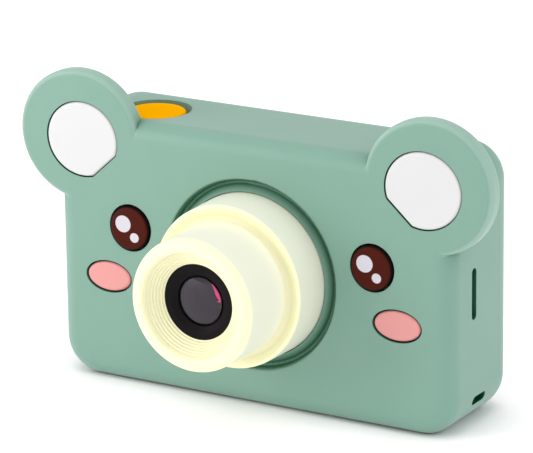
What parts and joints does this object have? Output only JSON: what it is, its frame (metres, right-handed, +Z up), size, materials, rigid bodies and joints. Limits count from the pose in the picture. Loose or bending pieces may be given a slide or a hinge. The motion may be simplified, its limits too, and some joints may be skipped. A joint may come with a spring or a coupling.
{
  "type": "kids digital camera",
  "caption": "Rounded box camera in a soft mint sleeve with two round ears, face pads, stepped cream lens barrel, top shutter button and rear keys.",
  "frame": {"origin": "centre of the bounding box seen from above, on the surface the camera stands on", "axes": "+X towards the side with the card slot, -Y the way the lens looks, +Z up"},
  "size_m": [0.1228, 0.057, 0.0734],
  "materials": {
    "silicone": "matte silicone",
    "ear_white": "satin",
    "eye_brown": "glossy",
    "glint_white": "glossy",
    "cheek_pink": "matte silicone",
    "cream": "satin",
    "black": "matte",
    "lens_glass": "coated, polished",
    "clear_lens": "polished",
    "case": "satin",
    "orange": "satin",
    "key_white": "satin",
    "screen_glass": "polished",
    "lcd": "polished",
    "steel": "zinc plated",
    "shield": "tinned",
    "board_green": "solder mask",
    "chip": "matte",
    "ribbon": "polyimide film",
    "foil": "foil pouch",
    "foam": "foam",
    "led_clear": "frosted"
  },
  "bodies": {
    "camera": {"silicone_cover": "silicone", "ear_insert_left": "ear_white", "ear_insert_right": "ear_white", "eye_left": "eye_brown", "eye_right": "eye_brown", "eye_glints_left": "glint_white", "eye_glints_right": "glint_white", "cheek_left": "cheek_pink", "cheek_right": "cheek_pink", "lens_barrel": "cream", "lens_bezel": "black", "lens_glass": "lens_glass", "lens_holder": "black", "inner_lens": "clear_lens", "sensor_board": "board_green", "image_sensor": "chip", "sensor_ribbon": "ribbon", "front_shell": "case", "rear_shell": "case", "shell_screws": "steel", "barrel_screws": "steel", "board_screws": "steel", "sensor_screws": "steel", "key_board_screws": "steel", "strap_bar": "steel", "screen_window": "screen_glass", "lcd_panel": "lcd", "lcd_frame": "shield", "key_switches": "chip", "key_board": "board_green", "key_ribbon": "ribbon", "led_lens": "led_clear", "speaker": "chip", "main_board": "board_green", "processor": "chip", "card_socket": "shield", "usb_port": "shield", "battery": "foil", "battery_pad": "foam", "microphone": "shield", "shutter_switch": "chip", "shutter_board": "board_green"},
    "shutter": {"shutter_button": "orange", "shutter_plunger": "chip"},
    "card": {"memory_card": "black"},
    "key_ok": {"key_ok": "key_white", "key_ok_plunger": "chip"},
    "key_up": {"key_up": "key_white", "key_up_plunger": "chip"},
    "key_down": {"key_down": "key_white", "key_down_plunger": "chip"},
    "key_left": {"key_left": "key_white", "key_left_plunger": "chip"},
    "key_right": {"key_right": "key_white", "key_right_plunger": "chip"},
    "key_power": {"key_power": "key_white", "key_power_plunger": "chip"},
    "key_mode": {"key_mode": "key_white", "key_mode_plunger": "chip"}
  },
  "joints": [
    {"name": "shutter_press", "type": "slide", "parent": "camera", "child": "shutter", "axis": [0, 0, -1], "range_m": [0, 0.0005], "stiffness_N_per_m": 1200, "springref_m": -0.0001},
    {"name": "card_slide", "type": "slide", "parent": "camera", "child": "card", "axis": [1, 0, 0], "range_m": [0, 0.02]},
    {"name": "key_ok_press", "type": "slide", "parent": "camera", "child": "key_ok", "axis": [0, -1, 0], "range_m": [0, 0.0004], "stiffness_N_per_m": 1200, "springref_m": -0.0001},
    {"name": "key_up_press", "type": "slide", "parent": "camera", "child": "key_up", "axis": [0, -1, 0], "range_m": [0, 0.0004], "stiffness_N_per_m": 1200, "springref_m": -0.0001},
    {"name": "key_down_press", "type": "slide", "parent": "camera", "child": "key_down", "axis": [0, -1, 0], "range_m": [0, 0.0004], "stiffness_N_per_m": 1200, "springref_m": -0.0001},
    {"name": "key_left_press", "type": "slide", "parent": "camera", "child": "key_left", "axis": [0, -1, 0], "range_m": [0, 0.0004], "stiffness_N_per_m": 1200, "springref_m": -0.0001},
    {"name": "key_right_press", "type": "slide", "parent": "camera", "child": "key_right", "axis": [0, -1, 0], "range_m": [0, 0.0004], "stiffness_N_per_m": 1200, "springref_m": -0.0001},
    {"name": "key_power_press", "type": "slide", "parent": "camera", "child": "key_power", "axis": [0, -1, 0], "range_m": [0, 0.0004], "stiffness_N_per_m": 1200, "springref_m": -0.0001},
    {"name": "key_mode_press", "type": "slide", "parent": "camera", "child": "key_mode", "axis": [0, -1, 0], "range_m": [0, 0.0004], "stiffness_N_per_m": 1200, "springref_m": -0.0001}
  ]
}
